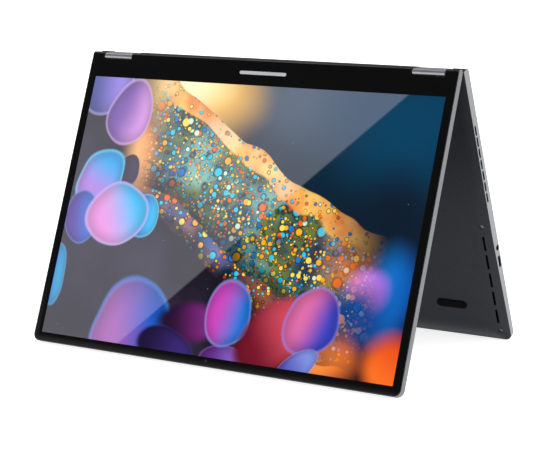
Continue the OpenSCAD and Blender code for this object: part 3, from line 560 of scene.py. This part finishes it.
def plate(outlines, low, high):
    """A flat plate: the first outline is its edge and any others are its windows."""
    bm = bmesh.new()
    edges = [edge for outline in outlines for edge in loop(bm, outline, low)]
    bmesh.ops.triangle_fill(bm, edges=edges, use_beauty=True)
    bmesh.ops.dissolve_limit(bm, angle_limit=0.01, verts=bm.verts, edges=bm.edges)
    made = bmesh.ops.extrude_face_region(bm, geom=list(bm.faces))
    raised = [item for item in made["geom"] if isinstance(item, bmesh.types.BMVert)]
    bmesh.ops.translate(bm, verts=raised, vec=(0, 0, (high - low) * MM))
    bmesh.ops.recalc_face_normals(bm, faces=bm.faces)
    return bm


def skin(bm, rings, close_ends=True):
    """Faces between rings of points, each ring the same length, with flat ends unless they stay open."""
    rows = [[bm.verts.new(Vector(p) * MM) for p in ring] for ring in rings]
    for lower, upper in zip(rows, rows[1:]):
        for i in range(len(lower)):
            bm.faces.new((lower[i - 1], lower[i], upper[i], upper[i - 1]))
    if close_ends:
        bm.faces.new(rows[0][::-1])
        bm.faces.new(rows[-1])
    return rows


def soften(obj, width):
    """Rounds the edges of a piece with modifiers, so a CAD mesh itself stays as it is."""
    weld = obj.modifiers.new("weld", "WELD")
    weld.merge_threshold = 0.002 * MM
    flat = obj.modifiers.new("flat", "DECIMATE")
    flat.decimate_type = "DISSOLVE"
    flat.angle_limit = math.radians(0.5)
    bevel = obj.modifiers.new("bevel", "BEVEL")
    bevel.width = width * MM
    bevel.segments = 3
    bevel.limit_method = "ANGLE"
    bevel.angle_limit = math.radians(35)
    bevel.harden_normals = True
    bevel.miter_outer = "MITER_ARC"
    obj.modifiers.new("normals", "WEIGHTED_NORMAL").keep_sharp = True


def bake_modifiers(obj):
    """Replaces a piece's mesh with its modified one."""
    bpy.context.view_layer.update()
    shown = obj.evaluated_get(bpy.context.evaluated_depsgraph_get())
    final = bpy.data.meshes.new_from_object(shown)
    obj.modifiers.clear()
    obj.data = final


def piece(name, bm, half, body, slot, replaces=(), material=None, sharp=40):
    """A new piece from a mesh in a half's own frame. It rides on a body and may stand for CAD nodes."""
    mesh = bpy.data.meshes.new(name)
    bm.to_mesh(mesh)
    bm.free()
    obj = bpy.data.objects.new(name, mesh)
    bpy.context.scene.collection.objects.link(obj)
    obj.matrix_world = half
    mesh.materials.append(material or MATERIALS[slot])
    mesh.shade_smooth()
    mesh.set_sharp_from_angle(angle=math.radians(sharp))
    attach(obj, body)
    if replaces:
        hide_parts(*replaces)
    return obj


# ---- lid ----
def glass_outline():
    """Edge of the cover glass, which steps round the two hinge knuckles."""
    half_w = HALF_W - GLASS_INSET
    depth = LID_D - GLASS_INSET
    radius = CORNER_R - GLASS_INSET
    notch = NOTCH_W / 2 + GLASS_NOTCH_GAP
    floor = LID_NOTCH_D + GLASS_NOTCH_GAP
    start = GLASS_START
    points = [(-half_w, start)]
    for side in (-1, 1):
        near = side * KNUCKLE_X - notch
        far = side * KNUCKLE_X + notch
        points += [(near, start), (near, floor), (far, floor), (far, start)]
    points.append((half_w, start))
    points += arc(half_w - radius, depth - radius, radius, 0, 90, 10)
    points += arc(-half_w + radius, depth - radius, radius, 90, 180, 10)
    return points


def cover_glass():
    """The black border of the cover glass, with its edge eased, and the lit picture inside it."""
    window = [(-SCREEN_W / 2, CHIN), (SCREEN_W / 2, CHIN), (SCREEN_W / 2, CHIN + SCREEN_H),
              (-SCREEN_W / 2, CHIN + SCREEN_H)]
    bm = plate([glass_outline(), window], 0, GLASS_T)
    limit = SCREEN_W / 2 + 0.1
    outer = [e for e in bm.edges if all(v.co.z < 0.01 * MM for v in e.verts)
             and any(abs(v.co.x) > limit * MM or v.co.y < (CHIN - 0.1) * MM for v in e.verts)
             and len({f.normal.to_tuple(1) for f in e.link_faces}) > 1]
    bmesh.ops.bevel(bm, geom=outer, offset=GLASS_EDGE_R * MM, segments=3, profile=0.5, affect="EDGES")
    piece("cover_glass_border", bm, LID, "lid", "screen_glass", replaces=["cover_glass"])
    piece("display_picture", plate([window], 0, GLASS_T), LID, "lid", "display", material=PICTURE)


def camera_lens():
    """A small dark lens in a slightly raised ring, in the border on the middle line."""
    bm = bmesh.new()
    rings = [[(*p, z) for p in arc(0, LID_D - LENS_INSET, r, 0, 345, 23)]
             for r, z in ((1.15, 0.01), (1.15, -0.03), (0.95, -0.03), (0.85, 0.005), (0.4, -0.02))]
    skin(bm, rings)
    bmesh.ops.recalc_face_normals(bm, faces=bm.faces)
    piece("camera_lens_ring", bm, LID, "lid", "dark_plastic")


def chin_bar():
    """A plain silver bar in the wide border."""
    bm = plate([rounded(-BAR_HALF_W, BAR_LOW_Y, BAR_HALF_W, BAR_HIGH_Y, BAR_R)], -0.02, 0.05)
    piece("chin_bar", bm, LID, "lid", "light_plastic")


# ---- underside ----
def blend(share):
    """Rise of the sloping edge over its width: straight first, then easing into the flat underside."""
    ease = 0.7
    steep = 1 / (1 - ease / 2)
    if share < 1 - ease:
        return steep * share
    rest = 1 - share
    return 1 - steep * rest * rest / (2 * ease)


def seam_at(y):
    """Depth of the seam between case and cover below the deck, at a distance from the hinge edge."""
    if y < SEAM_BEND:
        return SIDE_SEAM
    return SIDE_SEAM - (SIDE_SEAM - FRONT_SEAM) * (y - SEAM_BEND) / (BASE_D - SEAM_BEND)


def cover_ring(share):
    """One ring of the bottom cover, from the seam (share 0) to the flat underside (share 1)."""
    half_w = HALF_W - COVER_SIDE_GAP - SIDE_SLOPE * share
    outer_front = BASE_D - COVER_FRONT_GAP
    front = outer_front - FRONT_SLOPE * share
    radius = CORNER_R + UNDER_CORNER_GAIN * share
    drop = blend(share)
    hinge_z = SIDE_SEAM + SEAM_GAP + (BASE_T - SIDE_SEAM - SEAM_GAP) * drop
    hinge_y = UNDER_EDGE_R - math.sqrt(max(0, UNDER_EDGE_R ** 2 - (hinge_z - BASE_T + UNDER_EDGE_R) ** 2))
    side = [(half_w, hinge_y)] + [(half_w, y) for y in (45, 90, SEAM_BEND, 160, 185)]
    corner = arc(half_w - radius, front - radius, radius, 0, 90, 10)
    right = side + corner + [(half_w / 2, front)]
    outline = right + [(0, front)] + [(-x, y) for x, y in reversed(right)]
    outline += [(x, hinge_y) for x in (-half_w / 2, 0, half_w / 2)]
    ring = []
    for x, y in outline:
        outer_y = y + (outer_front - front) * (y > SEAM_BEND) * (y - SEAM_BEND) / (front - SEAM_BEND)
        seam = seam_at(outer_y) + SEAM_GAP
        ring.append((x, y, -(seam + (BASE_T - seam) * drop)))
    return ring


def pill_prism(bm, x, y, length, width, low, high):
    """A slot along y, as a closed solid to cut with."""
    straight = (length - width) / 2
    outline = arc(x, y + straight, width / 2, 0, 180, 8) + arc(x, y - straight, width / 2, 180, 360, 8)
    skin(bm, [[(*p, z) for p in outline] for z in (low, high)])


def block(bm, low, high):
    """A box between two corners, as a closed solid."""
    corners = [(low[0], low[1]), (high[0], low[1]), (high[0], high[1]), (low[0], high[1])]
    skin(bm, [[(*p, z) for p in corners] for z in (low[2], high[2])])


def knuckle_notch(bm, side, top):
    """The room for one knuckle at the hinge edge, as a closed solid to cut with."""
    x = side * KNUCKLE_X
    block(bm, (x - NOTCH_W / 2, -2, CUT_FROM), (x + NOTCH_W / 2, BASE_NOTCH_D, top))


def cover_cuts():
    """What is cut out of the bottom cover: speaker and intake slots, screw recesses and knuckle notches."""
    bm = bmesh.new()
    for side in (-1, 1):
        for i in range(5):
            y = SLOT_Y + i * SLOT_PITCH
            pill_prism(bm, side * (HALF_W - SLOT_INSET), y, *SLOT_SIZE, CUT_FROM, SLOT_TOP)
        knuckle_notch(bm, side, COVER_NOTCH_TOP)
    for row in range(3):
        for i in range(8):
            x = FAN[0] + INTAKE_START[0] + i * INTAKE_PITCH[0]
            y = FAN[1] + INTAKE_START[1] + row * INTAKE_PITCH[1]
            pill_prism(bm, x, y, *INTAKE_SIZE, CUT_FROM, INTAKE_TOP)
    for x, y in SCREWS:
        skin(bm, [[(*p, z) for p in arc(x, y, SCREW_R, 0, 345, 23)] for z in (CUT_FROM, SCREW_TOP)])
    return bm


def cut_away(obj, cuts):
    """Cuts closed solids, which stay clear of one another, out of a piece."""
    mesh = bpy.data.meshes.new("cuts")
    bmesh.ops.recalc_face_normals(cuts, faces=cuts.faces)
    cuts.to_mesh(mesh)
    cuts.free()
    cutter = bpy.data.objects.new("cuts", mesh)
    bpy.context.scene.collection.objects.link(cutter)
    cutter.matrix_world = obj.matrix_world
    cut = obj.modifiers.new("cut", "BOOLEAN")
    cut.object = cutter
    cut.solver = "EXACT"
    cut.use_self = True
    bake_modifiers(obj)
    bpy.data.objects.remove(cutter)


def cut_shell(obj, wall, *cuts):
    """Gives an open shell its wall, cuts the openings out of it and shades it."""
    solid = obj.modifiers.new("wall", "SOLIDIFY")
    solid.thickness = wall * MM
    solid.offset = -1
    for openings in cuts:
        cut_away(obj, openings)
    obj.data.shade_smooth()
    obj.data.set_sharp_from_angle(angle=math.radians(35))
    obj.modifiers.new("normals", "WEIGHTED_NORMAL").keep_sharp = True


def bottom_cover():
    """A thin pressed tray whose sloping edges ease into its flat underside."""
    bm = bmesh.new()
    steps = 12
    rows = skin(bm, [cover_ring(i / steps) for i in range(steps + 1)], close_ends=False)
    under = bm.faces.new(rows[-1])
    face_outward(bm, under, -1)
    obj = piece("bottom_cover_shell", bm, BASE, "base", "cover_metal", replaces=["bottom_cover"])
    cut_shell(obj, COVER_WALL, cover_cuts())


def face_outward(bm, face, side):
    """Turns every normal of an open shell outward, given that one face looks along z to that side."""
    bmesh.ops.recalc_face_normals(bm, faces=bm.faces)
    if face.normal.z * side < 0:
        bmesh.ops.reverse_faces(bm, faces=bm.faces)


def speaker_cloths_and_shade():
    """A strip of black cloth behind each row of speaker slots, a little above the wall of the cover. Near
    lightless, it is also painted shade that keeps the slots dark.
    """
    corners = [(-CLOTH_HALF_W, 0), (CLOTH_HALF_W, 0), (CLOTH_HALF_W, CLOTH_T), (-CLOTH_HALF_W, CLOTH_T)]
    for side in (-1, 1):
        bm = bmesh.new()
        rings = []
        for i in range(9):
            y = CLOTH_Y + i * CLOTH_STEP
            seam = seam_at(y)
            height = COVER_WALL + CLOTH_GAP - seam - (BASE_T - seam) * blend(CLOTH_SHARE)
            rings.append([(side * (HALF_W - SLOT_INSET) + x, y, height + z) for x, z in corners])
        skin(bm, rings)
        bmesh.ops.recalc_face_normals(bm, faces=bm.faces)
        name = "speaker_cloth_and_shade_left" if side < 0 else "speaker_cloth_and_shade_right"
        piece(name, bm, BASE, "base", "dark_plastic", material=SHADE_CLOTH)


def vent_mesh_and_shade():
    """A strip of fine black mesh behind the side vents, a little inside the wall of the case. Near lightless,
    it is also painted shade that keeps the vents dark.
    """
    bm = bmesh.new()
    wall = HALF_W - CASE_WALL
    block(bm, (wall - VENT_MESH_DEPTH, *VENT_MESH_LOW), (wall - VENT_MESH_GAP, *VENT_MESH_HIGH))
    bmesh.ops.recalc_face_normals(bm, faces=bm.faces)
    piece("vent_mesh_and_shade", bm, BASE, "base", "dark_plastic", material=SHADE_CLOTH)


# ---- top case ----
def case_ring(depth):
    """One ring of the top case at a depth below the deck. None is the ring that follows the seam."""
    at = DECK_EDGE_R if depth is None else depth
    inset = CASE_EDGE - math.sqrt(max(0, CASE_EDGE ** 2 - max(0, CASE_EDGE - at) ** 2))
    hinge_y = DECK_EDGE_R - math.sqrt(DECK_EDGE_R ** 2 - (DECK_EDGE_R - at) ** 2)
    half_w = HALF_W - inset
    radius = CORNER_R - inset
    right = [(half_w, hinge_y), (half_w, SEAM_BEND)]
    right += arc(half_w - radius, BASE_D - inset - radius, radius, 0, 90, 12)
    outline = right + [(-x, y) for x, y in reversed(right)]
    return [(x, y, -(seam_at(y) if depth is None else depth)) for x, y in outline]


def side_slot(bm, side, y, z, length, height):
    """A slot with round ends through one side wall, as a closed solid to cut with."""
    straight = (length - height) / 2
    outline = arc(y + straight, z, height / 2, -90, 90, 10) + arc(y - straight, z, height / 2, 90, 270, 10)
    skin(bm, [[(side * x, *p) for p in outline] for x in (HALF_W - 4, HALF_W + 2)])


def key_cuts(keys):
    """The openings that the keys stand in, cut through the floor of the keyboard well."""
    bm = bmesh.new()
    for low, high in keys:
        start = [low[i] - KEY_GAP for i in range(2)]
        stop = [high[i] + KEY_GAP for i in range(2)]
        hole = rounded(*start, *stop, KEY_HOLE_R, 4)
        skin(bm, [[(*p, z) for p in hole] for z in (-3, -WELL_H + 0.3)])
    return bm


def case_cuts(keys):
    """What else is cut out of the top case: keyboard well, touchpad opening, vents, sockets and notches."""
    bm = bmesh.new()
    low = [min(box[0][i] for box in keys) - WELL_MARGIN for i in range(2)]
    high = [max(box[1][i] for box in keys) + WELL_MARGIN for i in range(2)]
    skin(bm, [[(*p, z) for p in rounded(*low, *high, WELL_R)] for z in (-WELL_H, 1)])
    pad = rounded(-PAD_W / 2, PAD_Y, PAD_W / 2, PAD_Y + PAD_D, PAD_R)
    skin(bm, [[(*p, z) for p in pad] for z in (-3, 1)])
    for i in range(7):
        side_slot(bm, 1, VENT_Y + i * VENT_PITCH, VENT_Z, *VENT_SIZE)
    for opening in SIDE_OPENINGS:
        side_slot(bm, *opening)
    for side in (-1, 1):
        knuckle_notch(bm, side, 2)
    return bm


def top_case():
    """The metal deck and side walls in one shell, with every outer edge eased."""
    bm = bmesh.new()
    depths = [0, 0.04, 0.13, 0.26, CASE_EDGE, 0.8, 1.3, 2, DECK_EDGE_R, None]
    rows = skin(bm, [case_ring(depth) for depth in depths], close_ends=False)
    deck = bm.faces.new(rows[0])
    face_outward(bm, deck, 1)
    obj = piece("top_case_shell", bm, BASE, "base", "case_metal", replaces=["top_case"])
    keys = [box for node in KEY_NODES for box in loose_boxes(node)]
    cut_shell(obj, CASE_WALL, case_cuts(keys), key_cuts(keys))


# ---- keyboard ----
def loose_boxes(node):
    """Lowest and highest corner of each loose part of a CAD node, in the base's own frame and millimetres."""
    bm = bmesh.new()
    bm.from_mesh(NODES[node].data)
    bmesh.ops.transform(bm, matrix=BASE.inverted(), verts=bm.verts)
    bmesh.ops.remove_doubles(bm, verts=bm.verts, dist=0.002 * MM)
    left = set(bm.verts)
    boxes = []
    while left:
        grow = [left.pop()]
        part = []
        while grow:
            vert = grow.pop()
            part.append(vert.co / MM)
            for edge in vert.link_edges:
                other = edge.other_vert(vert)
                if other in left:
                    left.remove(other)
                    grow.append(other)
        boxes.append([[end(p[i] for p in part) for i in range(3)] for end in (min, max)])
    bm.free()
    return sorted(boxes)


def key_cap(bm, low, high):
    """One hollow key cap: a skirt that leans in a little, a rounded shoulder and a shallow dish."""
    top = high[2]
    profile = [(0.85, top - 0.72), (0.85, low[2]), (0.0, low[2]), (0.02, top - 0.9), (0.1, top - 0.42),
               (0.2, top - 0.17), (0.38, top - 0.04), (0.62, top), (0.95, top - 0.02), (1.8, top - 0.09),
               (3.0, top - 0.14)]
    rings = [[(*p, z) for p in rounded(low[0] + inset, low[1] + inset, high[0] - inset, high[1] - inset,
                                       max(1.3 - inset * 0.5, 0.5), 4)] for inset, z in profile]
    skin(bm, rings)


KEY_NODES = ["key_row_function", "key_row_numbers", "key_row_upper", "key_row_home", "key_row_lower",
             "key_row_modifiers", "space_bar", "enter_key", "backspace_key", "left_shift_key",
             "right_shift_key", "arrow_keys", "power_key"]


def keyboard():
    """One piece of caps for each key node, with a cap for each of its keys."""
    for node in KEY_NODES:
        bm = bmesh.new()
        for low, high in loose_boxes(node):
            key_cap(bm, low, high)
        bmesh.ops.recalc_face_normals(bm, faces=bm.faces)
        piece(node + "_caps", bm, BASE, node + "_body", "key_plastic", replaces=[node], sharp=60)


# ---- CAD nodes that stay: their slot's material, and softened edges where they are seen ----
SOFT_EDGES = {"lid_cover": 0.35, "left_hinge_cover": 0.35, "right_hinge_cover": 0.35,
              "front_feet": 0.25, "rear_feet": 0.25, "touchpad": 0.2, "bottom_screws": 0.08,
              "left_usb_c_port": 0.1, "right_usb_c_port": 0.1, "audio_jack": 0.1}


def dress_nodes():
    """Gives each CAD node its slot's material, and softens the edges that are seen."""
    for name, obj in NODES.items():
        slot = obj.data.materials[0].name.split(".")[0]
        obj.data.materials[0] = MATERIALS[slot]
        if name in SOFT_EDGES:
            soften(obj, SOFT_EDGES[name])


# ---- stage ----
FLOOR_REACH = 30


def floor():
    """A wide floor of pale paper, which glows a little so that it stays near white."""
    mesh = bpy.data.meshes.new("floor")
    corners = [(x * FLOOR_REACH, y * FLOOR_REACH, 0) for x, y in ((-1, -1), (1, -1), (1, 1), (-1, 1))]
    mesh.from_pydata(corners, [], [(0, 1, 2, 3)])
    obj = bpy.data.objects.new("floor", mesh)
    bpy.context.scene.collection.objects.link(obj)
    paper = surface("floor_paper", (0.86, 0.86, 0.86), 0.9, mottle=0.01, gloss=0.1, bump=0.0)
    shader = paper.node_tree.nodes["Principled BSDF"]
    shader.inputs["Emission Color"].default_value = (1, 1, 1, 1)
    shader.inputs["Emission Strength"].default_value = 0.8
    mesh.materials.append(paper)


def studio():
    """A pale horizon under a darker ceiling, a soft sun, a strip light above and a softbox on the right."""
    world = bpy.data.worlds.new("studio")
    bpy.context.scene.world = world
    world.use_nodes = True
    graph = Graph(world.node_tree)
    look = graph.add("ShaderNodeTexCoord", {}).outputs["Generated"]
    height = graph.axes(look)[2]
    graph.feed(world.node_tree.nodes["Background"].inputs["Color"],
               graph.mix(graph.smooth(height, 0.05, 0.32), (1.0, 1.0, 1.0), (0.13, 0.13, 0.135)))
    sun = bpy.data.lights.new("overhead", "SUN")
    sun.energy = 2.2
    sun.angle = math.radians(50)
    add_lamp(sun, (0.25, 0.35, 1.0))
    top = bpy.data.lights.new("top_strip", "AREA")
    top.shape = "RECTANGLE"
    top.size, top.size_y = 1.0, 0.6
    top.energy = 3.0
    add_lamp(top, (-0.8, 0.05, 1.35))
    side = bpy.data.lights.new("side_box", "AREA")
    side.shape = "RECTANGLE"
    side.size, side.size_y = 1.2, 1.2
    side.energy = 12
    add_lamp(side, (1.6, 0.3, 0.7))


def add_lamp(data, place):
    """A lamp at a place, aimed at the middle of the object."""
    lamp = bpy.data.objects.new(data.name, data)
    bpy.context.scene.collection.objects.link(lamp)
    place = Vector(place)
    lamp.location = place
    lamp.rotation_euler = (Vector((0, 0, 0.1)) - place).to_track_quat("-Z", "Y").to_euler()


CAMERA_PLACE = Vector((0.672, -1.0527, 0.335))
CAMERA_YAW = 0.5656
CAMERA_PITCH = 0.19837
CAMERA_ROLL = -0.01767
CAMERA_LENS = 118.47


def add_camera():
    """The camera at its place, turned by its yaw, pitch and roll, which are in radians."""
    data = bpy.data.cameras.new("camera")
    data.lens = CAMERA_LENS
    data.sensor_width = 36
    data.clip_start = 0.05
    data.clip_end = 60
    camera = bpy.data.objects.new("camera", data)
    bpy.context.scene.collection.objects.link(camera)
    forward = Vector((-math.sin(CAMERA_YAW) * math.cos(CAMERA_PITCH),
                      math.cos(CAMERA_YAW) * math.cos(CAMERA_PITCH), -math.sin(CAMERA_PITCH)))
    right = Vector((math.cos(CAMERA_YAW), math.sin(CAMERA_YAW), 0))
    up = right.cross(forward)
    across = right * math.cos(CAMERA_ROLL) + up * math.sin(CAMERA_ROLL)
    top = -right * math.sin(CAMERA_ROLL) + up * math.cos(CAMERA_ROLL)
    turn = Matrix((across, top, -forward)).transposed()
    camera.matrix_world = Matrix.Translation(CAMERA_PLACE) @ turn.to_4x4()
    bpy.context.scene.camera = camera


dress_nodes()
cover_glass()
camera_lens()
chin_bar()
bottom_cover()
speaker_cloths_and_shade()
vent_mesh_and_shade()
top_case()
keyboard()
floor()
studio()
add_camera()
bpy.context.scene.view_settings.view_transform = "Standard"
